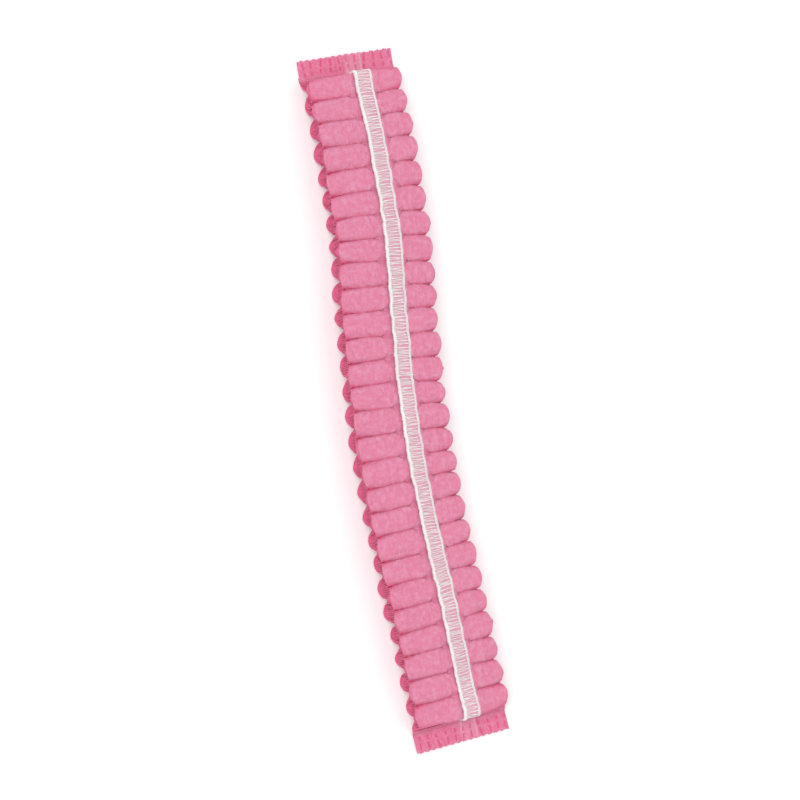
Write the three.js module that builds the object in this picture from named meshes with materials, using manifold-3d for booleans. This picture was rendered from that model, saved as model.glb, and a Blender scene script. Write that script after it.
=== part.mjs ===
// A disposable hair cover cap, folded into a strip, gathered by its two elastic hems and lying flat.
// Millimetres, +X across the strip, +Y along it, +Z up, with the origin in the middle of the footprint.
// The web is one cloth. Its section is an S: the upper flap, the full layer, then the under flap.
// Each wall stands for a stack of thin layers. The section is swept along a row of upright pleats.

import * as THREE from "three";
import { mergeVertices } from "three/addons/utils/BufferGeometryUtils.js";
import Module from "manifold-3d";

// The folded web
const wall = 1.65;
const layerGap = 0.3;
const stripWidth = 33;
const foldBevel = 0.9;

// The gathers
const pleatCount = 27;
const legLength = 3.5;
const legGap = 0.3;
const leanAngle = THREE.MathUtils.degToRad(7);
const creaseIndent = 1.1;
const upperFacets = 5;
const underFacets = 3;

// Each pleat's legs as a share of legLength: a repeat for the row, and the first ones at each end
const legShares = [1, 0.89, 0.95, 0.84, 0.98, 0.91, 0.81, 0.94];
const endLegShares = [0.18, 0.59, 0.84];

// The elastic hems
const bandWidth = 5.6;
const bandBevel = 0.4;
const bandDip = 0.8;
const bandSteps = 4;
const upperBandOffset = 2.8;
const seatGap = 0.3;
const climbWidth = 1.2;

// The welded ends
const tabLength = 2.2;
const sealLength = 5.3;
const sealThickness = 1.2;
const sealOverlap = 0.6;

// How the strip bends on the table: place along it and sideways shift, both as shares of its length
const bend = [
  { along: 0, aside: 0 },
  { along: 0.15, aside: -0.009 },
  { along: 0.42, aside: -0.022 },
  { along: 0.6, aside: -0.012 },
  { along: 0.74, aside: 0.001 },
  { along: 1, aside: 0 },
];

const pink = 0xe47fa3;
const white = 0xefe6e8;

// Sizes that follow from the ones above
const bundle = 2 * wall + layerGap;
const halfBundle = bundle / 2;
const halfGap = layerGap / 2;
const pitch = 2 * (bundle + legGap);
const turnRadius = pitch / 4;
const outerRadius = turnRadius + halfBundle;
const halfWidth = stripWidth / 2;
const pleatedLength = pleatCount * pitch;
const webEnd = pleatedLength / 2 + tabLength;
const stripLength = 2 * (webEnd + sealLength);

// Where the hems lie across the strip. The full layer climbs from the under side to the upper side
// just left of the upper band, and the under band lies left of that climb.
const upperHem = upperBandOffset + bandWidth / 2 + seatGap;
const climbUpper = upperBandOffset - bandWidth / 2 - seatGap;
const climbUnder = climbUpper - wall / 2;
const underBandOffset = climbUnder - climbWidth - seatGap - bandWidth / 2;
const underHem = underBandOffset - bandWidth / 2 - seatGap;

// A frame is one station of a sweep. Its point at height t over the middle of the bundle is
// (y, z) + t * (my, mz), and indent narrows the section there.
function frame(y, z, my, mz, indent = 0) {
  return { y, z, my, mz, indent };
}

// A turn is a row of flat facets that touch a circle, so that every layer keeps its thickness.
// The bundle's direction goes from one angle to the other, and side is 1 for an upper turn.
function turn(centreY, centreZ, from, to, facets, side) {
  const step = (to - from) / (facets + 1);
  const reach = 1 / Math.cos(step / 2);
  const frames = [];
  for (let i = 0; i <= facets; i++) {
    const direction = from + step * (i + 0.5);
    const my = -Math.sin(direction) * reach;
    const mz = Math.cos(direction) * reach;
    const out = side * turnRadius;
    const indent = creaseIndent * Math.abs(Math.sin(direction));
    frames.push(frame(centreY + my * out, centreZ + mz * out, my, mz, indent));
  }
  return frames;
}

// The height of a pleat over the table: the turns at its foot and head, with its legs between them
function pleatTop(index) {
  const fromEnd = Math.min(index, pleatCount - 1 - index);
  const nearEnd = fromEnd < endLegShares.length;
  const share = nearEnd ? endLegShares[fromEnd] : legShares[index % legShares.length];
  return 2 * outerRadius + legLength * share;
}

const quarter = Math.PI / 2;
const pleatedStart = -pleatedLength / 2;
const halfTurnFacets = (underFacets - 1) / 2;

function upperTurnY(index) {
  return pleatedStart + pitch * (index + 0.5);
}

// Half an under turn joins the pleats to the flat tab at each end
function startTurn() {
  return turn(pleatedStart, outerRadius, 0, quarter, halfTurnFacets, -1);
}

function endTurn() {
  return turn(-pleatedStart, outerRadius, -quarter, 0, halfTurnFacets, -1);
}

function webFrames() {
  const frames = [frame(-webEnd, halfBundle, 0, 1), ...startTurn()];
  for (let i = 0; i < pleatCount; i++) {
    const y = upperTurnY(i);
    frames.push(...turn(y, pleatTop(i) - outerRadius, quarter, -quarter, upperFacets, 1));
    if (i < pleatCount - 1) {
      frames.push(...turn(y + pitch / 2, outerRadius, -quarter, quarter, underFacets, -1));
    }
  }
  frames.push(...endTurn(), frame(webEnd, halfBundle, 0, 1));
  return frames;
}

// The upper band climbs the first pleat, bridges the crests and comes down the last one
function upperBandFrames() {
  const last = pleatCount - 1;
  const crestZ = (i) => pleatTop(i) - halfBundle;
  const facets = (upperFacets - 1) / 2;
  const frames = [frame(-webEnd + sealOverlap + seatGap, halfBundle, 0, 1), ...startTurn()];
  frames.push(...turn(upperTurnY(0), pleatTop(0) - outerRadius, quarter, 0, facets, 1));
  for (let i = 0; i < last; i++) {
    for (let k = 0; k < bandSteps; k++) {
      const share = k / bandSteps;
      const dip = (bandDip * (1 - Math.cos(2 * Math.PI * share))) / 2;
      const level = THREE.MathUtils.lerp(crestZ(i), crestZ(i + 1), share);
      frames.push(frame(upperTurnY(i) + pitch * share, level - dip, 0, 1));
    }
  }
  frames.push(frame(upperTurnY(last), crestZ(last), 0, 1));
  frames.push(...turn(upperTurnY(last), pleatTop(last) - outerRadius, 0, -quarter, facets, 1));
  frames.push(...endTurn(), frame(webEnd - sealOverlap - seatGap, halfBundle, 0, 1));
  return frames;
}

// The under band runs straight below the under turns
function underBandFrames() {
  const end = webEnd - sealOverlap - seatGap;
  const frames = [];
  for (let i = 0; i <= pleatCount; i++) {
    frames.push(frame(THREE.MathUtils.lerp(-end, end, i / pleatCount), halfBundle, 0, 1));
  }
  return frames;
}

// The S section, from the upper flap's free edge round the outside and back
function webSection(indent) {
  const right = halfWidth - indent;
  const left = -right;
  return [
    [upperHem, halfBundle],
    [right - foldBevel, halfBundle],
    [right, halfBundle - foldBevel],
    [right, foldBevel - halfBundle],
    [right - foldBevel, -halfBundle],
    [climbUnder, -halfBundle],
    [climbUnder - climbWidth, halfGap],
    [left + wall, 0],
    [underHem, -halfGap],
    [underHem, -halfBundle],
    [left + foldBevel, -halfBundle],
    [left, foldBevel - halfBundle],
    [left, halfBundle - foldBevel],
    [left + foldBevel, halfBundle],
    [climbUpper - climbWidth, halfBundle],
    [climbUpper, -halfGap],
    [right - wall, 0],
    [upperHem, halfGap],
  ];
}

// A band lies in the thickness of the flap that it hems, on the upper side (1) or the under side (-1).
// It keeps clear of the full layer behind it, and its outer corners are bevelled.
function bandSection(middle, side) {
  const half = bandWidth / 2;
  const seat = side * (seatGap - halfGap);
  const face = side * halfBundle;
  const bevel = side * bandBevel;
  return [
    [middle - half, seat],
    [middle - half, face - bevel],
    [middle - half + bandBevel, face],
    [middle + half - bandBevel, face],
    [middle + half, face - bevel],
    [middle + half, seat],
  ];
}

// The strip's middle line on the table
const axis = new THREE.CatmullRomCurve3(
  bend.map(({ along, aside }) => new THREE.Vector3(aside * stripLength, (along - 0.5) * stripLength, 0)),
  false,
  "centripetal",
);

// Moves a point of the straight strip onto its middle line
function bendPoint(x, y, z) {
  const leant = y + (z - halfBundle) * Math.tan(leanAngle);
  const share = THREE.MathUtils.clamp(leant / stripLength + 0.5, 0, 1);
  const place = axis.getPointAt(share);
  const along = axis.getTangentAt(share);
  return [place.x + along.y * x, place.y - along.x * x, z];
}

// Joins rings of equal length into one closed body with its faces pointing out
function closedBody(rings, outline) {
  const size = outline.length;
  const positions = rings.flat().flat();
  const triangles = [];
  for (let r = 0; r < rings.length - 1; r++) {
    for (let i = 0; i < size; i++) {
      const a = r * size + i;
      const b = r * size + ((i + 1) % size);
      triangles.push(a, b, b + size, a, b + size, a + size);
    }
  }
  const lastRing = (rings.length - 1) * size;
  for (const [a, b, c] of outlineTriangles(outline)) {
    triangles.push(c, b, a, lastRing + a, lastRing + b, lastRing + c);
  }
  return facingOut(positions, triangles);
}

// Triangles that fill an outline, each running the same way round as the outline
function outlineTriangles(outline) {
  const flat = outline.map(([x, t]) => new THREE.Vector2(x, t));
  const clockwise = THREE.ShapeUtils.isClockWise(flat);
  return THREE.ShapeUtils.triangulateShape(flat, []).map((corners) => {
    const same = THREE.ShapeUtils.isClockWise(corners.map((i) => flat[i])) === clockwise;
    return same ? corners : corners.toReversed();
  });
}

function signedVolume(positions, triangles) {
  const corner = (i) => new THREE.Vector3().fromArray(positions, 3 * i);
  let volume = 0;
  for (let i = 0; i < triangles.length; i += 3) {
    const [a, b, c] = triangles.slice(i, i + 3).map(corner);
    volume += a.dot(b.cross(c)) / 6;
  }
  return volume;
}

function facingOut(positions, triangles) {
  const geometry = new THREE.BufferGeometry();
  const order = signedVolume(positions, triangles) < 0 ? triangles.reverse() : triangles;
  geometry.setAttribute("position", new THREE.Float32BufferAttribute(positions, 3));
  geometry.setIndex(order);
  return geometry;
}

function sweep(frames, section) {
  const rings = frames.map((f) =>
    section(f.indent).map(([x, t]) => bendPoint(x, f.y + f.my * t, f.z + f.mz * t)),
  );
  return closedBody(rings, section(0));
}

// The weld at one end, a wedge from the tab down to the thin tip. side is -1 or 1.
function sealGeometry(side) {
  const rows = [
    { out: webEnd - sealOverlap, top: bundle },
    { out: webEnd, top: bundle },
    { out: webEnd + sealLength / 2, top: sealThickness },
    { out: webEnd + sealLength, top: sealThickness },
  ];
  const corners = ({ out, top }) => [
    bendPoint(-halfWidth, side * out, 0),
    bendPoint(halfWidth, side * out, 0),
    bendPoint(halfWidth, side * out, top),
    bendPoint(-halfWidth, side * out, top),
  ];
  const outline = [[-halfWidth, 0], [halfWidth, 0], [halfWidth, bundle], [-halfWidth, bundle]];
  return closedBody(rows.map(corners), outline);
}

const wasm = await Module();
wasm.setup();

function toSolid(geometry) {
  const bare = geometry.clone();
  bare.deleteAttribute("normal");
  bare.deleteAttribute("uv");
  const merged = mergeVertices(bare);
  const vertProperties = new Float32Array(merged.attributes.position.array);
  const triVerts = new Uint32Array(merged.index.array);
  return new wasm.Manifold(new wasm.Mesh({ numProp: 3, vertProperties, triVerts }));
}

function toGeometry(solid) {
  const mesh = solid.getMesh();
  const geometry = new THREE.BufferGeometry();
  geometry.setAttribute("position", new THREE.BufferAttribute(mesh.vertProperties, 3));
  geometry.setIndex(new THREE.BufferAttribute(mesh.triVerts, 1));
  return geometry;
}

function named(name, geometry, colour, roughness) {
  const material = new THREE.MeshStandardMaterial({ color: colour, roughness, metalness: 0 });
  geometry.computeVertexNormals();
  const mesh = new THREE.Mesh(geometry, material);
  mesh.name = name;
  return mesh;
}

function crownWeb() {
  const pleats = toSolid(sweep(webFrames(), webSection));
  const sealed = pleats.add(toSolid(sealGeometry(-1))).add(toSolid(sealGeometry(1)));
  return named("crown_web", toGeometry(sealed), pink, 0.9);
}

function rimBandUpper() {
  const section = () => bandSection(upperBandOffset, 1);
  return named("rim_band_upper", sweep(upperBandFrames(), section), white, 0.8);
}

function rimBandUnder() {
  const section = () => bandSection(underBandOffset, -1);
  return named("rim_band_under", sweep(underBandFrames(), section), white, 0.8);
}

const cap = new THREE.Group();
cap.add(crownWeb(), rimBandUpper(), rimBandUnder());

// The origin goes to the middle of the footprint
const extent = new THREE.Box3().setFromObject(cap, true);
const middle = extent.getCenter(new THREE.Vector3());
cap.position.set(-middle.x, -middle.y, -extent.min.z);

const group = new THREE.Group();
group.add(cap);

export default group;
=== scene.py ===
"""The looks of a disposable hair cover cap, folded into a strip and lying flat with its stitched face up.

The web is one thin sheet. It is folded into twelve layers across, and gathered into upright pleats along.
Every point of it has a station along the pleats and a column across the unfolded web.
Lengths are millimetres until to_object() turns them into metres.
The camera, the lights and the materials are in metres.
"""

import math

import bpy
import numpy as np
from mathutils import Matrix, Vector, noise


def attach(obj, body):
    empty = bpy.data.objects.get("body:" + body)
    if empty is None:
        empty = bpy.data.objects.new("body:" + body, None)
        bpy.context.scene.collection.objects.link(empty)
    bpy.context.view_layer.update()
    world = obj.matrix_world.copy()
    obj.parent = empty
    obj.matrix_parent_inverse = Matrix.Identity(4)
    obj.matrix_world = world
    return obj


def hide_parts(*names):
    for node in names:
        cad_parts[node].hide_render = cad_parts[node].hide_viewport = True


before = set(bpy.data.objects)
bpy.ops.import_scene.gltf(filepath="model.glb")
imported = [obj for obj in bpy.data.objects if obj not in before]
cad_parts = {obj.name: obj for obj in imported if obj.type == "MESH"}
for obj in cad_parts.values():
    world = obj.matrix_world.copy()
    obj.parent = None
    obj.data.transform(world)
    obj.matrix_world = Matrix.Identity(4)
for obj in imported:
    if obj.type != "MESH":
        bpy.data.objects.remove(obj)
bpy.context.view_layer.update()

MM = 0.001
NOISE_SEED = 7
noise.seed_set(NOISE_SEED)

# The pleats, as in the solids
PLEATS = 27
PITCH = 7.8
TURN_RADIUS = 1.95
HALF_BUNDLE = 1.8
LEG = 3.5
LEG_SHARES = (0.97, 0.91, 0.95, 0.89, 0.97, 0.93, 0.87, 0.94)
END_LEG_SHARES = (0.18, 0.59, 0.84)
LEAN = math.radians(7)
OUTER_RADIUS = TURN_RADIUS + HALF_BUNDLE
START = -PLEATS * PITCH / 2

# Across the strip
HALF_WIDTH = 16.5
EDGE_GAP = 0.45
CREASE_INDENT = 1.1
CREASE_DEPTH = 1.0
UPPER_HEM = 0.0
UNDER_HEM = -2.7
STEP_FROM = -0.2
STEP_TO = -1.6
BAND_WIDTH = 5.6

# The thin layers of the fold. The squareness of a turn is 0 for a round one.
LAYERS = 12
OUTER_LAYER = 1.94
LAYER_STEP = 2 * OUTER_LAYER / (LAYERS - 1)
PUFF = 0.34 * LAYER_STEP
EYE = 0.4
CREST_SQUARENESS = 5.5
CREST_ROUNDING = 4.7
UNDER_SQUARENESS = 1.8
UNDER_ROUNDING = 1.1
LIFT = 0.14
UNDER_HEM_LIFT = 0.3
FLOOR_GAP = 0.04

# The ends
TAB = 2.2
SEAL = 5.3
SEAL_THICKNESS = 0.9
WELD_OVERLAP = 0.2
WEB_END = -START + TAB
END_STEPS = 9
PRESSED = 0.87
PRESSED_WITHIN = 0.32

# How the hems draw the cloth in. Each pair of places across counts from its hem.
UPPER_HOLD = (4.9, 8.0)
UPPER_CREASE = 0.8
FLAP_SINK = (5.0, 6.5)
FLAP_SINK_DEPTH = 0.3
BESIDE_HOLD_LEFT = (-4.6, -1.2)
BESIDE_HOLD_RIGHT = (5.6, 1.6)
BESIDE_HOLD = 0.85
BESIDE_DROP = 0.35
BESIDE_CREASE = 1.1
CREASE_SHARPNESS = 6
UNDER_HOLD = (-6.9, -4.9)
THREAD_ROOM_LEFT = (-7.1, -5.5)
THREAD_ROOM_RIGHT = (2.1, 0.5)
THREAD_ROOM = 0.52
THREAD_ROOM_FROM = 0.16
THREAD_ROOM_FADE = 1.3
PUCKERS_PER_PLEAT = 5
UPPER_PUCKER = 0.17
UNDER_PUCKER = 0.08

# Shapes near the ends, in pleats, and near the sides, as insets from a fold
END_HOLD = (0.1, 0.5)
SIDE_SHAPE = (4.6, 0.2)
SIDE_TIGHTER = 0.1
CREASE_PRESSED = (0.9, 2.6)

# Small dents and wanderings
SLOW_SIZE = 11.0
SLOW_SHIFT = (0.3, 0.7, 0.5)
QUICK_SIZE = 3.1
QUICK_SHIFT = (0.12, 0.22, 0.2)
QUICK_FROM = Vector((7.3, 1.1, 4.7))
CALM_HEIGHT = 3.0
HOLD_SEED = 17
WANDER_SEED = 40
WAVE_SEED = 90
LACE_SEED = 11

# The overlock stitches, with the places of each hem's corded edge and needle line across the strip
STITCH = 1.1
BAND_DIP = 0.35
UPPER_STITCHES = (UPPER_HEM + 0.3, UPPER_HEM + 5.0)
UNDER_STITCHES = (UNDER_HEM - 0.3, UNDER_HEM - 5.0)
THREAD_END = 0.45


def smooth(low, high, x):
    """0 below low, 1 above high, and a smooth step between them."""
    u = np.clip((np.asarray(x, float) - low) / (high - low), 0, 1)
    return u * u * (3 - 2 * u)


# The middle line, read from the under band's rings in the frame
BAND_SHIFT = 0.075
BAND_END_GAP = 0.9
LINE_MARGIN = 4


def middle_line():
    """Returns (y before bending, x, y, angle) along the strip's middle."""
    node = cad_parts["rim_band_under"]
    points = np.array([v.co for v in node.data.vertices]) / MM
    points = points[np.argsort(points[:, 1])]
    breaks = np.where(np.diff(points[:, 1]) > PITCH / 4)[0] + 1
    rings = np.split(points, breaks)
    centres = np.array([(r.min(0) + r.max(0)) / 2 for r in rings])
    along = np.gradient(centres[:, :2], axis=0)
    along /= np.linalg.norm(along, axis=1)[:, None]
    band_x = UNDER_HEM - BAND_WIDTH / 2 + BAND_SHIFT
    reach = WEB_END - BAND_END_GAP
    lean = (centres[:, 2] - HALF_BUNDLE) * math.tan(LEAN)
    before = np.linspace(-reach, reach, len(rings)) + lean
    x = centres[:, 0] - along[:, 1] * band_x
    y = centres[:, 1] + along[:, 0] * band_x
    angle = np.arctan2(along[:, 0], along[:, 1])
    beyond = SEAL + TAB + LINE_MARGIN
    for end, sign in ((0, -1), (-1, 1)):
        tail = (
            before[end] + sign * beyond,
            x[end] + sign * beyond * math.sin(angle[end]),
            y[end] + sign * beyond * math.cos(angle[end]),
            angle[end],
        )
        spot = 0 if end == 0 else len(before)
        before, x, y, angle = (np.insert(a, spot, v) for a, v in zip((before, x, y, angle), tail))
    return before, x, y, angle


LINE = middle_line()


def bend(points):
    """Leans the straight strip's points and lays them along the middle line."""
    before, line_x, line_y, angle = LINE
    x, y, z = np.asarray(points, float).T
    leant = y + (z - HALF_BUNDLE) * math.tan(LEAN)
    turn = np.interp(leant, before, angle)
    out_x = np.interp(leant, before, line_x) + np.cos(turn) * x
    out_y = np.interp(leant, before, line_y) - np.sin(turn) * x
    return np.column_stack([out_x, out_y, z])


# Stations along the pleats, with the degrees from upright at which each turn has one
TURN, UNDER_TURN, STRAIGHT, FLAT = 1, -1, 0, 2
CREST_STEPS = (90, 73, 60, 51, 43, 34, 19)
UNDER_STEPS = (18, 36, 54, 72, 90)


def leg_length(index):
    from_end = min(index, PLEATS - 1 - index)
    if from_end < len(END_LEG_SHARES):
        return LEG * END_LEG_SHARES[from_end]
    return LEG * LEG_SHARES[index % len(LEG_SHARES)]


LEGS = np.array([leg_length(i) for i in range(PLEATS)])
CREST_Z = 2 * OUTER_RADIUS + LEGS
CREST_Q = np.arange(PLEATS) + 0.5


def flat_end(side):
    """The stations past the last pleat, where the layers are pressed together towards the weld."""
    y_from, y_to = -START, WEB_END + WELD_OVERLAP
    q = 0 if side < 0 else PLEATS
    ends = []
    for share in np.linspace(0, 1, END_STEPS):
        y = y_from + (y_to - y_from) * share
        squeeze = 1 - PRESSED * float(smooth(0.0, PRESSED_WITHIN, share))
        ends.append((FLAT, side * y, HALF_BUNDLE, 0.0, q, squeeze))
    return ends[:0:-1] if side < 0 else ends[1:]


def make_stations():
    """Rows of (kind, y, z, direction, place in pleats, squeeze), from one weld to the other."""
    quarter = math.pi / 2
    arc = TURN_RADIUS * quarter
    crest_half = np.radians(CREST_STEPS)
    crest_steps = np.concatenate([crest_half, [0.0], -crest_half[::-1]])
    under_steps = np.radians(UNDER_STEPS)
    rows = flat_end(-1)
    rows.append((UNDER_TURN, START, OUTER_RADIUS, 0.0, 0, 1))
    for i in range(PLEATS):
        left = START + PITCH * i
        leg = LEGS[i]
        half = 2 * arc + leg
        for a in under_steps:
            rows.append((UNDER_TURN, left, OUTER_RADIUS, a, i + 0.5 * arc * a / quarter / half, 1))
        q = i + 0.5 * (arc + leg * 0.5) / half
        rows.append((STRAIGHT, left + TURN_RADIUS, OUTER_RADIUS + leg * 0.5, quarter, q, 1))
        for a in crest_steps:
            q = i + 0.5 + 0.5 * (-a / quarter) * arc / half
            rows.append((TURN, left + PITCH / 2, OUTER_RADIUS + leg, a, q, 1))
        q = i + 1 - 0.5 * (arc + leg * 0.5) / half
        rows.append((STRAIGHT, left + PITCH - TURN_RADIUS, OUTER_RADIUS + leg * 0.5, -quarter, q, 1))
        for a in -under_steps[::-1]:
            q = i + 1 + 0.5 * arc * a / quarter / half
            rows.append((UNDER_TURN, left + PITCH, OUTER_RADIUS, a, q, 1))
        rows.append((UNDER_TURN, left + PITCH, OUTER_RADIUS, 0.0, i + 1, 1))
    rows += flat_end(1)
    return np.array(rows, float)


STATIONS = make_stations()
KIND, ST_Y, ST_Z, DIRECTION, PLACE, SQUEEZE = STATIONS.T


def evened(heights):
    """The same heights with the steps between neighbours halved and halved again."""
    for _ in range(2):
        padded = np.pad(heights, 1, mode="edge")
        heights = (padded[:-2] + 2 * padded[1:-1] + padded[2:]) / 4
    return heights


def crest_height(place):
    """The height over the table of a hem drawn tight from crest to crest."""
    return np.interp(place, CREST_Q, evened(CREST_Z))


def crease_floor(place, t):
    """How deep a shown layer at t goes into the creases, where the pressed cloth closes them."""
    return np.interp(place, CREST_Q, CREST_Z) - HALF_BUNDLE + t + LIFT - CREASE_DEPTH


def valley(place, sharpness=1):
    """1 in the creases between crests, 0 on the crests. A sharper valley is narrower."""
    return (0.5 * (1 + np.cos(2 * math.pi * place))) ** sharpness


def pucker(place, x):
    """Small gathers beside a hem, as a height from -1 to 1."""
    phase = 2 * math.pi * (PUCKERS_PER_PLEAT * place + 0.07 * x)
    return np.sin(phase) * (0.75 + 0.25 * np.sin(phase * 0.37 + 1.3))


def upper_skin(place, t):
    """The height of a layer at t where the upper hem holds it level over the crests."""
    return crest_height(place) - HALF_BUNDLE + t - BAND_DIP * valley(place) + 2 * LIFT


def under_skin(t):
    """The same for the under hem, a little off the table."""
    return HALF_BUNDLE + t + UNDER_HEM_LIFT


def band_room(x, z):
    """How far the lowest layers are raised over the under hem, so that its thread fits over the table."""
    across = smooth(*THREAD_ROOM_LEFT, x - UNDER_HEM) * smooth(*THREAD_ROOM_RIGHT, x - UNDER_HEM)
    return THREAD_ROOM * across * np.clip(1 - (z - THREAD_ROOM_FROM) / THREAD_ROOM_FADE, 0, 1)


def corner_reach(direction, power):
    """How far a rounded square's edge lies from its centre, beside a circle's."""
    s, c = np.abs(np.sin(direction)), np.abs(np.cos(direction))
    return (s**power + c**power) ** (-1 / power)


def folded(t, edge):
    """(y, z) at every station of a layer at height t over the middle of the bundle.

    edge is 0 in the middle of the strip and 1 at its sides. The turns are squarer in the middle, where
    the crests are pressed flat, and rounder at the sides, where a small eye is left inside each turn.
    """
    t = np.broadcast_to(t, KIND.shape).astype(float)
    sin, cos = np.sin(DIRECTION), np.cos(DIRECTION)
    outward = np.clip((t + OUTER_LAYER) / (2 * OUTER_LAYER), 0, 1)
    eye = EYE * edge * cos
    over = TURN_RADIUS + t + eye * (1 - outward)
    under = TURN_RADIUS - t + eye * outward
    over_square = (CREST_SQUARENESS - CREST_ROUNDING * edge) * outward**2
    under_square = (UNDER_SQUARENESS - UNDER_ROUNDING * edge) * (1 - outward) ** 2
    over = over * corner_reach(DIRECTION, 2 + over_square)
    under = under * corner_reach(DIRECTION, 2 + under_square)
    y = np.where(KIND == TURN, ST_Y - sin * over, ST_Y - sin * t)
    z = np.where(KIND == TURN, ST_Z + cos * over, ST_Z + cos * t)
    y = np.where(KIND == UNDER_TURN, ST_Y + sin * under, y)
    z = np.where(KIND == UNDER_TURN, ST_Z - cos * under, z)
    y = np.where(KIND == FLAT, ST_Y, y)
    z = np.where(KIND == FLAT, (HALF_BUNDLE + t) * SQUEEZE, z)
    return y, z + LIFT


# Columns across the unfolded web. The places on a flap and beside a hem count from that hem.
UPPER_FLAP = (0.0, 0.7, 1.8, 3.0, 4.2, 5.2, 6.0, 6.9, 8.0, 9.4, 10.6)
LEFT_OF_UPPER_HEM = (-2.3, -3.1, -4.1, -5.3, -7.0, -9.4)
BELOW_UPPER_HEM = (5.6, 3.6, 1.6)
ABOVE_UNDER_HEM = (0.5, -5.5)
UNDER_FLAP = (-6.2, -5.1, -3.9, -2.5, -1.2, 0.0)
UPPER_HEM_MIDDLE = 3.0
UNDER_HEM_MIDDLE = -2.5
LOWEST_RIGHT = (10.2, 7.5, 4.8, 2.0)
SHOWN_INSETS = (2.2, 1.0, 0.4)
HIDDEN_INSETS = (0.5,)
TURN_INSET = 0.12


def level(index):
    """The height of a layer over the middle of the bundle. The top layer is 0."""
    return OUTER_LAYER - LAYER_STEP * index


class Column:
    """One line along the web, in a layer that counts from 0 at the top.

    side is 0 for a place x across the strip, else the line is set in from that edge's fold.
    """

    def __init__(self, layer, x=0.0, side=0, inset=0.0, fold=0, hem="", puff=0.0):
        self.layer, self.x, self.side, self.inset, self.fold, self.hem = layer, x, side, inset, fold, hem
        self.t = level(layer) + puff


def edge_columns(side, layer, fold, outward):
    """The last columns before an edge fold if outward, else the first ones after it.

    The cloth puffs away from the fold's other half.
    """
    insets = SHOWN_INSETS if layer in (0, LAYERS - 1) else HIDDEN_INSETS
    columns = []
    for inset in insets:
        puff = (PUFF if outward else -PUFF) * float(smooth(2.4, 0.4, inset))
        columns.append(Column(layer, side=side, inset=inset, fold=fold, puff=puff))
    return columns if outward else columns[::-1]


def fold_columns(side, layer, fold):
    """The turn of the cloth from a layer to the next one at one edge."""
    return [
        Column(layer, side=side, inset=TURN_INSET, fold=fold, puff=0.5 * PUFF),
        Column(layer + 0.5, side=side, inset=0.0, fold=fold),
        Column(layer + 1, side=side, inset=TURN_INSET, fold=fold, puff=-0.5 * PUFF),
    ]


def make_columns():
    """The upper flap, then the layers one after another, then the under flap.

    To the left of the upper hem each layer lies one place higher, because the flap isn't there.
    """
    columns = [Column(0, UPPER_HEM + x, hem="upper") for x in UPPER_FLAP]
    columns += edge_columns(1, 0, 0, True)
    columns += fold_columns(1, 0, 0)
    for m in range(1, LAYERS):
        hem = "beside" if m == 1 else ""
        right = left = ()
        if m == 1:
            right = [UPPER_HEM + x for x in BELOW_UPPER_HEM]
            left = [UPPER_HEM + x for x in LEFT_OF_UPPER_HEM]
        if m > LAYERS - 4:
            left = [UNDER_HEM + x for x in ABOVE_UNDER_HEM]
        if m == LAYERS - 1:
            right = LOWEST_RIGHT
        right_part = [Column(m, x, hem=hem) for x in (*right, STEP_FROM)]
        left_part = [Column(m - 1, x, hem=hem) for x in (STEP_TO, *left)]
        if m % 2 == 1:
            columns += edge_columns(1, m, m - 1, False) + right_part + left_part
            columns += edge_columns(-1, m - 1, m, True) + fold_columns(-1, m - 1, m)
        else:
            columns += edge_columns(-1, m - 1, m - 1, False) + left_part[::-1] + right_part[::-1]
            columns += edge_columns(1, m, m, True) + fold_columns(1, m, m)
    columns += edge_columns(-1, LAYERS - 1, LAYERS - 1, False)
    columns += [Column(LAYERS - 1, UNDER_HEM + x, hem="under") for x in UNDER_FLAP]
    return columns


def slow_noise(seed, wavelength):
    """A smooth random row along the stations, about -1 to 1."""
    local = np.random.default_rng(seed)
    knots = np.arange(-2, PLEATS + 3, wavelength)
    values = local.uniform(-1, 1, len(knots))
    u = np.interp(PLACE, knots, np.arange(len(knots)))
    low = np.clip(u.astype(int), 0, len(knots) - 2)
    share = u - low
    share = share * share * (3 - 2 * share)
    return values[low] * (1 - share) + values[low + 1] * share


def edge_place(side, fold):
    """How far from the middle each fold's edge lies, at every station."""
    indent = CREASE_INDENT * np.abs(np.sin(DIRECTION)) ** 2 * (KIND != FLAT)
    outermost = abs(level(fold) - LAYER_STEP / 2) / OUTER_LAYER
    own = 0.24 * math.sin(2.4 * fold + 0.9 * side) - 0.75 * outermost**3
    wander = 0.34 * slow_noise(WANDER_SEED + 3 * fold + side, 0.8)
    wave = 0.22 * slow_noise(WAVE_SEED + 3 * fold + side, 0.23)
    return HALF_WIDTH - EDGE_GAP - indent + own + wander + wave


def held_by_hem(column, x, z, fade):
    """How far a hem holds each point of a column, from 0 to 1, and the height at which it does."""
    if column.hem == "upper":
        from_hem = x - UPPER_HEM
        hold = 1 - smooth(*UPPER_HOLD, from_hem + fade)
        crease = UPPER_CREASE * (1 - hold) + FLAP_SINK_DEPTH * smooth(*FLAP_SINK, from_hem)
        skin = upper_skin(PLACE, column.t) + UPPER_PUCKER * hold * pucker(PLACE, x)
        return hold, skin - crease * valley(PLACE, CREASE_SHARPNESS)
    if column.hem == "beside":
        from_hem = x - UPPER_HEM
        hold = smooth(*BESIDE_HOLD_LEFT, from_hem + fade) * smooth(*BESIDE_HOLD_RIGHT, from_hem)
        hold = BESIDE_HOLD * hold
        skin = upper_skin(PLACE, column.t) - BESIDE_DROP
        return hold, skin - (BESIDE_CREASE - hold) * valley(PLACE, CREASE_SHARPNESS)
    if column.hem == "under":
        hold = smooth(*UNDER_HOLD, x - UNDER_HEM)
        return hold, under_skin(column.t) + UNDER_PUCKER * hold * pucker(PLACE, x)
    return np.zeros(len(PLACE)), z


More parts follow.
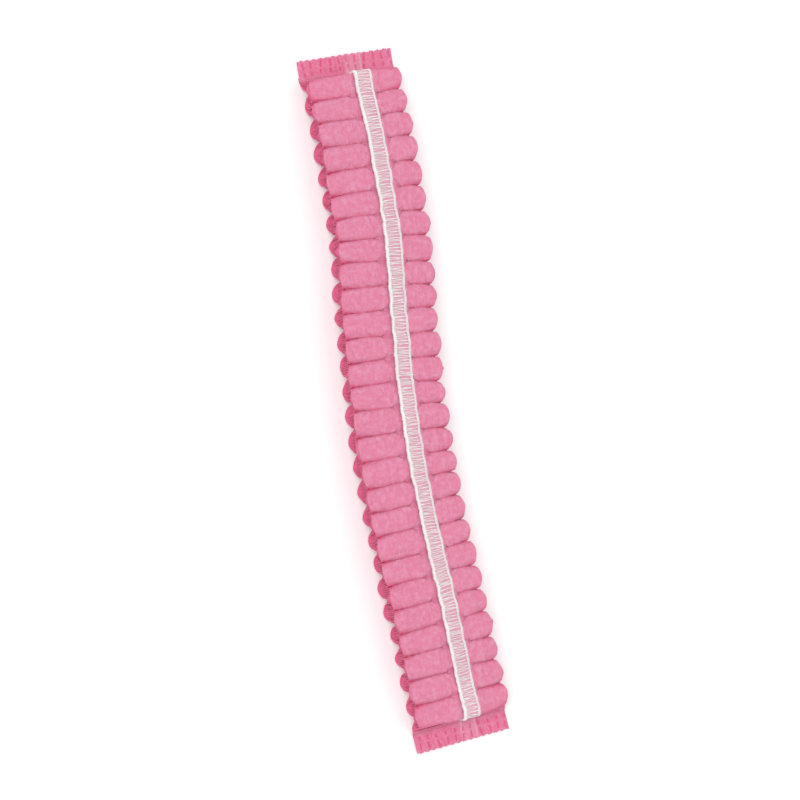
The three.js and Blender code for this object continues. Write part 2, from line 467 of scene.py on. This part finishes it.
def web_points():
    """The web's points, stations by columns, their places on the flat cloth, and each hem's (y, z) path."""
    columns = make_columns()
    grid = np.zeros((len(PLACE), len(columns), 3))
    fade = 0.9 * slow_noise(HOLD_SEED, 1.3)
    inner = smooth(*END_HOLD, PLACE) * smooth(*END_HOLD, PLEATS - PLACE)
    middles = (("upper", UPPER_HEM + UPPER_HEM_MIDDLE), ("under", UNDER_HEM + UNDER_HEM_MIDDLE))
    paths = {}
    for c, column in enumerate(columns):
        if column.side:
            x = column.side * (edge_place(column.side, column.fold) - column.inset)
            edge = float(smooth(*SIDE_SHAPE, column.inset))
        else:
            x = np.full(len(PLACE), float(column.x))
            edge = 0.0
        y, z = folded(column.t * (1 - SIDE_TIGHTER * edge), edge)
        hold, skin = held_by_hem(column, x, z, fade)
        if column.layer == 0:
            pressed = inner * (smooth(*CREASE_PRESSED, column.inset) if column.side else 1)
            z = z + np.clip(crease_floor(PLACE, column.t) - z, 0, None) * pressed
        hold = hold * inner
        y = y + (START + PITCH * PLACE - y) * hold**2
        z = z + (skin - z) * (1 - (1 - hold) ** 6)
        z = z + band_room(x, z)
        grid[:, c] = np.column_stack([x, y, z])
        if (column.hem, column.x) in middles:
            paths[column.hem] = (y, z)
    return grid, flat_places(columns), paths


def run_along(*places):
    """How far each point lies along a path with those coordinates."""
    steps = np.sqrt(sum(np.diff(p) ** 2 for p in places))
    return np.concatenate([[0.0], np.cumsum(steps)])


def flat_places(columns):
    """Where each column lies across the cut web, and each station along it."""
    xs = [c.side * (HALF_WIDTH - c.inset) if c.side else c.x for c in columns]
    ts = [c.t for c in columns]
    return run_along(xs, ts), run_along(*folded(0.0, 0.0))


def warp(points):
    """Small soft dents in cloth, the same for all layers at a place. They fade at the table."""
    moved = np.array(points, float)
    for i, p in enumerate(points):
        slow = noise.noise_vector(Vector(p) / SLOW_SIZE)
        quick = noise.noise_vector(Vector(p) / QUICK_SIZE + QUICK_FROM)
        shift = np.array(slow) * SLOW_SHIFT + np.array(quick) * QUICK_SHIFT
        shift[2] *= min(1.0, max(0.0, p[2] / CALM_HEIGHT))
        moved[i] += shift
    moved[:, 2] = np.maximum(moved[:, 2], FLOOR_GAP)
    return moved


# Meshes
BAND_LINT = 0.8
SHADE_DEPTHS = (0.15, 1.5)
STITCHED_FROM = 0.12


def to_object(name, points, faces, material, smooth_faces=True):
    mesh = bpy.data.meshes.new(name)
    mesh.from_pydata([tuple(p) for p in np.asarray(points) * MM], [], faces)
    mesh.validate()
    mesh.update()
    if smooth_faces:
        mesh.polygons.foreach_set("use_smooth", [True] * len(mesh.polygons))
    mesh.materials.append(material)
    made = bpy.data.objects.new(name, mesh)
    bpy.context.scene.collection.objects.link(made)
    return made


def grid_faces(rows, columns):
    faces = []
    for r in range(rows - 1):
        start = r * columns
        faces += [
            (start + c, start + c + 1, start + columns + c + 1, start + columns + c)
            for c in range(columns - 1)
        ]
    return faces


def give_uv(made, uv_of_vertex):
    layer = made.data.uv_layers.new(name="flat")
    index = np.zeros(len(made.data.loops), np.int32)
    made.data.loops.foreach_get("vertex_index", index)
    layer.data.foreach_set("uv", np.asarray(uv_of_vertex, np.float32)[index].ravel())


def give_value(made, name, values):
    attribute = made.data.attributes.new(name, "FLOAT", "POINT")
    attribute.data.foreach_set("value", np.asarray(values, np.float32))


def build_web(grid, across, along, material):
    """The folded cloth, with painted shade, a deeper pink, down in its creases, and paler under the upper
    hem's thread.
    """
    points = warp(bend(grid.reshape(-1, 3)))
    web = to_object("folded_web", points, grid_faces(*grid.shape[:2]), material)
    give_uv(web, np.stack(np.meshgrid(across, along), axis=-1).reshape(-1, 2) * MM)
    z = grid[:, :, 2]
    # Painted shade: the shaded value grows with depth below the crests, and the material paints it as a
    # deeper pink
    below_crests = crest_height(PLACE)[:, None] - z
    shade = smooth(*SHADE_DEPTHS, np.minimum(below_crests, z))
    give_value(web, "shaded", shade.ravel())
    stitched = (PLACE > STITCHED_FROM) & (PLACE < PLEATS - STITCHED_FROM)
    give_value(web, "lint", np.outer(stitched, BAND_LINT * (across < BAND_WIDTH)).ravel())
    return web


# The welded ends
DASH_PITCH = 2.95
DASH_ROWS = ((1.75, 2.1), (4.35, 1.3))
DASH_HALF_WIDTH = 0.27
WELD_STEP = 0.2
WELD_HALF_WIDTH = HALF_WIDTH - 0.5
WELD_FROM = -START + 0.25
WELD_CLIMB = 2.1
CLIMB_LENGTH = 0.75
WELD_FOOT = 0.12
WELD_LIFT = 0.35
DASH_DEPTH = 0.62
DASH_DEPTH_BELOW = 0.5
FLUTE_HEIGHT = 0.11
SEWN_HEIGHT = 0.25
LEAST_FUSED = 0.25


def weld_marks(x, out):
    """1 in the pressed dashes of both rows, 0 on the cloth between them. out grows towards the cut edge."""
    marks = np.zeros_like(x)
    to_cut = WEB_END + SEAL - out + 0.22 * np.sin(1.9 * x) + 0.12 * np.sin(0.7 * x + 1)
    drift = 0.35 * np.sin(0.43 * x + 0.4 * out)
    across = np.abs(((x + drift) / DASH_PITCH + 0.3) % 1 - 0.5) * DASH_PITCH
    for place, length in DASH_ROWS:
        near = 1 - smooth(DASH_HALF_WIDTH * 0.7, DASH_HALF_WIDTH * 1.5, across)
        ends = 1 - smooth(length / 2 - 0.1, length / 2 + 0.2, np.abs(to_cut - place))
        marks = np.maximum(marks, near * ends)
    return marks


def sewn_in(x, edge_x, needle_x):
    """1 where the threads of a hem run on into the weld, 0 beside them, and a little between them."""
    edge = np.exp(-(((x - edge_x) / 0.5) ** 2))
    needle = np.exp(-(((x - needle_x) / 0.4) ** 2))
    between = 0.35 * (x > min(edge_x, needle_x)) * (x < max(edge_x, needle_x))
    return np.maximum(np.maximum(edge, needle), between)


def weld_share(out):
    """0 where the weld begins, 1 at its cut edge."""
    return (out - out.min()) / (out.max() - out.min())


def weld_faces(x, out, marks, upper_threads, side):
    """The heights of a weld's upper and lower faces, thick at the web and curled up at the cut edge."""
    share = weld_share(out)
    flutes = np.sin(2 * math.pi * x / 2.7 + 1.1 * np.sin(x * 0.5)) + 0.5 * np.sin(x * 1.37 + side)
    thickness = SEAL_THICKNESS + WELD_CLIMB * np.exp(-(((out - WELD_FROM) / CLIMB_LENGTH) ** 2))
    lift = WELD_LIFT * share**2 * (1 + 0.7 * np.sin(0.31 * x + 1.7 * side))
    foot = WELD_FOOT + 0.1 * (1 + flutes) * share + lift
    round_side = 1 - smooth(HALF_WIDTH - 1.6, WELD_HALF_WIDTH, np.abs(x))
    half = thickness / 2 * (0.35 + 0.65 * round_side) * (1 - 0.3 * smooth(0.9, 1, share))
    middle = foot + thickness / 2
    relief = FLUTE_HEIGHT * flutes + SEWN_HEIGHT * upper_threads
    top = middle + half * (1 - DASH_DEPTH * marks) + relief * (1 - marks)
    bottom = middle - half * (1 - DASH_DEPTH_BELOW * marks)
    return top, bottom


def closed_sheet_faces(rows, columns):
    """The faces of an upper grid, a lower grid that faces down, and the wall around both."""
    count = rows * columns
    faces = grid_faces(rows, columns)
    faces += [tuple(i + count for i in reversed(f)) for f in faces]
    rim = [(0, c) for c in range(columns)] + [(r, columns - 1) for r in range(1, rows)]
    rim += [(rows - 1, c) for c in range(columns - 2, -1, -1)] + [(r, 0) for r in range(rows - 2, 0, -1)]
    ids = [r * columns + c for r, c in rim]
    for a, b in zip(ids, ids[1:] + ids[:1]):
        faces.append((b, a, a + count, b + count))
    return faces


def build_weld(name, side, material):
    """The end of the strip, where all layers are fused into one flat flange."""
    xs = np.arange(-WELD_HALF_WIDTH, WELD_HALF_WIDTH + WELD_STEP / 2, WELD_STEP)
    outs = np.arange(WELD_FROM, WEB_END + SEAL + WELD_STEP / 2, WELD_STEP)
    x, out = np.meshgrid(xs, outs)
    share = weld_share(out)
    marks = weld_marks(x, out)
    upper_threads = sewn_in(x, *UPPER_STITCHES)
    under_threads = sewn_in(x, *UNDER_STITCHES)
    top, bottom = weld_faces(x, out, marks, upper_threads, side)
    ragged = 0.16 * np.sin(2.9 * x) + 0.12 * np.sin(7.1 * x + 1)
    y = side * (out + ragged * smooth(0.8, 1, share))
    upper = np.column_stack([x.ravel(), y.ravel(), top.ravel()])
    lower = np.column_stack([x.ravel(), y.ravel(), bottom.ravel()])
    faces = closed_sheet_faces(*x.shape)
    if side < 0:
        faces = [tuple(reversed(f)) for f in faces]
    weld = to_object(name, bend(np.vstack([upper, lower])), faces, material)
    give_value(weld, "fused", np.tile(np.maximum(marks, LEAST_FUSED).ravel(), 2))
    threads = np.stack([upper_threads, under_threads]) * (1 - 0.7 * marks) * (1 - 0.45 * share)
    give_value(weld, "lint", threads.ravel())
    give_uv(weld, np.vstack([upper[:, :2], lower[:, :2]]) * MM)
    return weld


# The overlock stitches. The laces cross between the corded edge and the needle line.
PATH_STEP = 0.4
STEPS_PER_STITCH = 6
UNDER_FLATNESS = 0.6
CORD_RADIUS = 0.4
CORD_TURNS = 0.5
CORD_THREAD_RADIUS = 0.22
NEEDLE_TURNS = 0.3
NEEDLE_THREAD_RADIUS = 0.17
LACES = ((-1, 0.11), (1, 0.11), (0, 0.07))
LACE_POINTS = 7
LACE_SLANT = 0.36


def tube(path, radius, sides):
    """Points and faces of a closed tube along a path."""
    path = np.asarray(path, float)
    along = np.gradient(path, axis=0)
    along /= np.linalg.norm(along, axis=1)[:, None]
    up = np.tile([0.0, 0.0, 1.0], (len(path), 1))
    up[np.abs(along[:, 2]) > 0.9] = [0.0, 1.0, 0.0]
    across = np.cross(along, up)
    across /= np.linalg.norm(across, axis=1)[:, None]
    lift = np.cross(across, along)
    angles = np.arange(sides) * 2 * math.pi / sides
    radius = np.broadcast_to(radius, (len(path),))[:, None, None]
    ring = np.cos(angles)[None, :, None] * across[:, None] + np.sin(angles)[None, :, None] * lift[:, None]
    points = (path[:, None] + ring * radius).reshape(-1, 3)
    faces = []
    for r in range(len(path) - 1):
        for k in range(sides):
            a, b = r * sides + k, r * sides + (k + 1) % sides
            faces.append((a, b, b + sides, a + sides))
    faces.append(tuple(reversed(range(sides))))
    faces.append(tuple(range((len(path) - 1) * sides, len(path) * sides)))
    return points, faces


def join(parts):
    """The points and faces of all parts in one list each."""
    points, faces, start = [], [], 0
    for part_points, part_faces in parts:
        points.append(part_points)
        faces += [tuple(i + start for i in f) for f in part_faces]
        start += len(part_points)
    return np.vstack(points), faces


def build_overlock(name, side, edge_x, needle_x, cloth, material):
    """The thread of one hem: a corded edge, a needle line, and the laces that cross between them.

    cloth is the (y, z) path of the web along the middle of the hem, which the threads follow.
    """
    path = np.column_stack(cloth)[SQUEEZE > THREAD_END]
    run = run_along(*path.T)
    even = np.linspace(0, run[-1], int(run[-1] / PATH_STEP))
    path = np.column_stack([np.interp(even, run, path[:, 0]), np.interp(even, run, path[:, 1])])
    ahead = np.gradient(path, axis=0)
    ahead /= np.linalg.norm(ahead, axis=1)[:, None]
    flatness = 1 if side > 0 else UNDER_FLATNESS

    def lay(x, s, over):
        """Points at x across the strip and s along the hem, over its cloth."""
        x, s, over = np.broadcast_arrays(x, s, over * flatness)
        y, z, ahead_y, ahead_z = (np.interp(s, even, values) for values in (*path.T, *ahead.T))
        return np.column_stack([x, y - side * over * ahead_z, z + side * over * ahead_y])

    count = int(run[-1] / STITCH)
    steps = np.linspace(0, run[-1], count * STEPS_PER_STITCH)
    turn = 2 * math.pi * steps / STITCH
    wander = 0.08 * np.sin(steps * 0.9) + 0.05 * np.sin(steps * 2.3 + 1)
    parts = [tube(lay(edge_x + wander, steps, 0.12), CORD_RADIUS, 8)]
    for phase in (0, math.pi):
        cos, sin = np.cos(turn + phase), np.sin(turn + phase)
        cord_x = edge_x + wander + CORD_TURNS * cos
        parts.append(tube(lay(cord_x, steps, 0.12 + 0.42 * sin), CORD_THREAD_RADIUS, 5))
        line_x = needle_x + wander + NEEDLE_TURNS * cos
        parts.append(tube(lay(line_x, steps, 0.2 + 0.14 * sin), NEEDLE_THREAD_RADIUS, 5))

    local = np.random.default_rng(LACE_SEED + side)
    share = np.linspace(0, 1, LACE_POINTS)
    lace_x = needle_x + (edge_x - needle_x) * share
    for k in range(count):
        foot = (k + 0.5 + 0.12 * local.uniform(-1, 1)) * STITCH
        for direction, radius in LACES:
            slant = STITCH * (LACE_SLANT * direction + 0.16 * local.uniform(-1, 1))
            bow = STITCH * 0.24 * local.uniform(-1, 1)
            along_hem = foot + slant * share**0.8 + bow * np.sin(math.pi * share)
            over = 0.14 + 0.16 * np.sin(math.pi * share) + 0.03 * direction
            parts.append(tube(lay(lace_x, along_hem, over), radius, 5))
    points, faces = join(parts)
    return to_object(name, warp(bend(points)), faces, material)


# Materials
class Nodes:
    """A material's node tree, with a short way to add and join nodes."""

    def __init__(self, name):
        self.material = bpy.data.materials.new(name)
        self.material.use_nodes = True
        self.tree = self.material.node_tree
        self.tree.nodes.clear()

    def add(self, kind, inputs=None, **settings):
        node = self.tree.nodes.new(kind)
        for key, value in settings.items():
            setattr(node, key, value)
        for key, value in (inputs or {}).items():
            if isinstance(value, bpy.types.NodeSocket):
                self.tree.links.new(value, node.inputs[key])
            else:
                node.inputs[key].default_value = value
        return node

    def mix(self, factor, a, b):
        node = self.add("ShaderNodeMix", data_type="RGBA")
        for socket, value in ((node.inputs[0], factor), (node.inputs[6], a), (node.inputs[7], b)):
            if isinstance(value, bpy.types.NodeSocket):
                self.tree.links.new(value, socket)
            else:
                socket.default_value = value
        return node.outputs[2]

    def ramp(self, value, low, high):
        node = self.add("ShaderNodeMapRange", {"Value": value, "From Min": low, "From Max": high})
        return node.outputs[0]


PINK = (0.915, 0.345, 0.515, 1)
PALE_PINK = (0.935, 0.44, 0.62, 1)
DEEP_PINK = (0.90, 0.23, 0.395, 1)
FIBRE_PINK = (0.86, 0.255, 0.415, 1)
# Painted shade colour for the cloth deep in the creases
SHADED_PINK = (0.95, 0.20, 0.38, 1)
FUSED_PINK = (0.85, 0.15, 0.31, 1)
LINT_PINK = (0.95, 0.53, 0.67, 1)
THREAD_WHITE = (0.97, 0.95, 0.93, 1)
THREAD_SHADE = (0.93, 0.82, 0.84, 1)


def nonwoven():
    n = Nodes("nonwoven_web")
    place = n.add("ShaderNodeTexCoord")
    solid = place.outputs["Object"]
    flat = place.outputs["UV"]
    clouds = n.add("ShaderNodeTexNoise", {"Vector": solid, "Scale": 300.0, "Detail": 4.0})
    fine = n.add(
        "ShaderNodeTexNoise",
        {"Vector": solid, "Scale": 1500.0, "Detail": 4.0, "Roughness": 0.7},
    )
    stretch = n.add("ShaderNodeMapping", {"Vector": flat, "Scale": (1.0, 0.4, 1.0)})
    fibres = n.add(
        "ShaderNodeTexNoise",
        {"Vector": stretch.outputs[0], "Scale": 1100.0, "Detail": 5.0, "Roughness": 0.65, "Distortion": 0.4},
    )
    bonds = n.add("ShaderNodeTexVoronoi", {"Vector": flat, "Scale": 900.0, "Randomness": 0.25})
    bond = n.ramp(bonds.outputs["Distance"], 0.12, 0.34)
    bond_height = n.add("ShaderNodeMath", {0: bond, 1: 0.25}, operation="MULTIPLY")
    colour = n.mix(n.ramp(clouds.outputs[0], 0.35, 1.0), PINK, PALE_PINK)
    colour = n.mix(n.ramp(fine.outputs[0], 0.62, 0.38), colour, DEEP_PINK)
    colour = n.mix(n.ramp(fibres.outputs[0], 0.6, 0.36), colour, FIBRE_PINK)
    tufts = n.add("ShaderNodeTexNoise", {"Vector": solid, "Scale": 620.0, "Detail": 2.0})
    colour = n.mix(n.ramp(tufts.outputs[0], 0.45, 0.85), colour, PALE_PINK)
    softened = n.mix(0.15, colour, PINK)
    fused = n.add("ShaderNodeAttribute", attribute_name="fused")
    lint = n.add("ShaderNodeAttribute", attribute_name="lint")
    shaded = n.add("ShaderNodeAttribute", attribute_name="shaded")
    # Painted shade: the cloth turns a deeper pink where the shaded value marks it as lying down in a crease
    shown = n.mix(shaded.outputs["Fac"], softened, SHADED_PINK)
    shown = n.mix(fused.outputs["Fac"], shown, FUSED_PINK)
    shown = n.mix(lint.outputs["Fac"], shown, LINT_PINK)
    height = n.add("ShaderNodeMath", {0: fibres.outputs[0], 1: bond_height.outputs[0]}, operation="ADD")
    bump = n.add("ShaderNodeBump", {"Height": height.outputs[0], "Strength": 0.7, "Distance": 0.0006})
    lumps = n.add(
        "ShaderNodeBump",
        {"Height": tufts.outputs[0], "Strength": 0.7, "Distance": 0.0007, "Normal": bump.outputs[0]},
    )
    cloth = n.add(
        "ShaderNodeBsdfPrincipled",
        {
            "Base Color": shown,
            "Roughness": 0.85,
            "Specular IOR Level": 0.12,
            "Sheen Weight": 0.18,
            "Sheen Roughness": 0.45,
            "Sheen Tint": (1.0, 0.82, 0.88, 1),
            "Normal": lumps.outputs[0],
        },
    )
    through = n.add("ShaderNodeBsdfTranslucent", {"Color": shown, "Normal": lumps.outputs[0]})
    both = n.add("ShaderNodeMixShader", {0: 0.2, 1: cloth.outputs[0], 2: through.outputs[0]})
    n.add("ShaderNodeOutputMaterial", {"Surface": both.outputs[0]})
    return n.material


def thread():
    n = Nodes("overlock_thread")
    place = n.add("ShaderNodeTexCoord").outputs["Object"]
    twist = n.add("ShaderNodeTexNoise", {"Vector": place, "Scale": 3000.0, "Detail": 2.0})
    tone = n.add("ShaderNodeTexNoise", {"Vector": place, "Scale": 260.0, "Detail": 2.0})
    colour = n.mix(n.ramp(tone.outputs[0], 0.4, 0.75), THREAD_WHITE, THREAD_SHADE)
    bump = n.add("ShaderNodeBump", {"Height": twist.outputs[0], "Strength": 0.3, "Distance": 0.0001})
    fibre = n.add(
        "ShaderNodeBsdfPrincipled",
        {
            "Base Color": colour,
            "Roughness": 0.6,
            "Specular IOR Level": 0.35,
            "Sheen Weight": 0.3,
            "Normal": bump.outputs[0],
        },
    )
    through = n.add("ShaderNodeBsdfTranslucent", {"Color": colour})
    both = n.add("ShaderNodeMixShader", {0: 0.06, 1: fibre.outputs[0], 2: through.outputs[0]})
    n.add("ShaderNodeOutputMaterial", {"Surface": both.outputs[0]})
    return n.material


# The stage
FLOOR_REACH = 20000
VIEW_TARGET = Vector((0, 0, 0.004))
VIEW_TILT = math.radians(17)
VIEW_ROLL = math.radians(-9.9)
VIEW_DISTANCE = 0.86
LENS = 120


def build_floor():
    n = Nodes("floor")
    board = n.add(
        "ShaderNodeBsdfPrincipled",
        {
            "Base Color": (0.9, 0.9, 0.9, 1),
            "Roughness": 0.8,
            "Emission Color": (1, 1, 1, 1),
            "Emission Strength": 0.1,
        },
    )
    n.add("ShaderNodeOutputMaterial", {"Surface": board.outputs[0]})
    corners = [(FLOOR_REACH * x, FLOOR_REACH * y, 0) for x, y in ((-1, -1), (1, -1), (1, 1), (-1, 1))]
    floor = to_object("floor", corners, [(0, 1, 2, 3)], n.material, smooth_faces=False)


def add_light(name, place, spread, strength):
    """A far, wide and even light that shines from place towards the middle of the strip."""
    light = bpy.data.lights.new(name, "SUN")
    light.angle = spread
    light.energy = strength
    made = bpy.data.objects.new(name, light)
    made.location = place
    made.rotation_euler = (-Vector(place)).to_track_quat("-Z", "Y").to_euler()
    bpy.context.scene.collection.objects.link(made)


def build_camera():
    data = bpy.data.cameras.new("camera")
    data.lens = LENS
    camera = bpy.data.objects.new("camera", data)
    away = Vector((-math.sin(VIEW_TILT), 0, math.cos(VIEW_TILT)))
    camera.location = VIEW_TARGET + away * VIEW_DISTANCE
    level_right = Vector((0, 1, 0)).cross(away).normalized()
    right = level_right * math.cos(VIEW_ROLL) + away.cross(level_right) * math.sin(VIEW_ROLL)
    up = away.cross(right)
    camera.rotation_euler = Matrix((right, up, away)).transposed().to_euler()
    bpy.context.scene.collection.objects.link(camera)
    bpy.context.scene.camera = camera


def build_world():
    world = bpy.data.worlds.new("world")
    world.use_nodes = True
    sky = world.node_tree.nodes["Background"]
    sky.inputs[0].default_value = (1.0, 0.99, 0.985, 1)
    sky.inputs[1].default_value = 0.5
    bpy.context.scene.world = world


web_material = nonwoven()
thread_material = thread()

grid, (across, along), hem_paths = web_points()
web = build_web(grid, across, along, web_material)
welds = [build_weld("weld_near", -1, web_material), build_weld("weld_far", 1, web_material)]
upper = build_overlock("overlock_upper", 1, *UPPER_STITCHES, hem_paths["upper"], thread_material)
under = build_overlock("overlock_under", -1, *UNDER_STITCHES, hem_paths["under"], thread_material)

for piece in (web, *welds):
    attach(piece, "root")
    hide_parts("crown_web")
for piece, node in ((upper, "rim_band_upper"), (under, "rim_band_under")):
    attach(piece, "root")
    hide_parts(node)

build_floor()
build_world()
add_light("key", (-0.35, 0.2, 1.0), math.radians(42), 1.62)
add_light("fill", (0.6, -0.25, 0.9), math.radians(44), 0.56)
build_camera()
bpy.context.scene.view_settings.view_transform = "Standard"
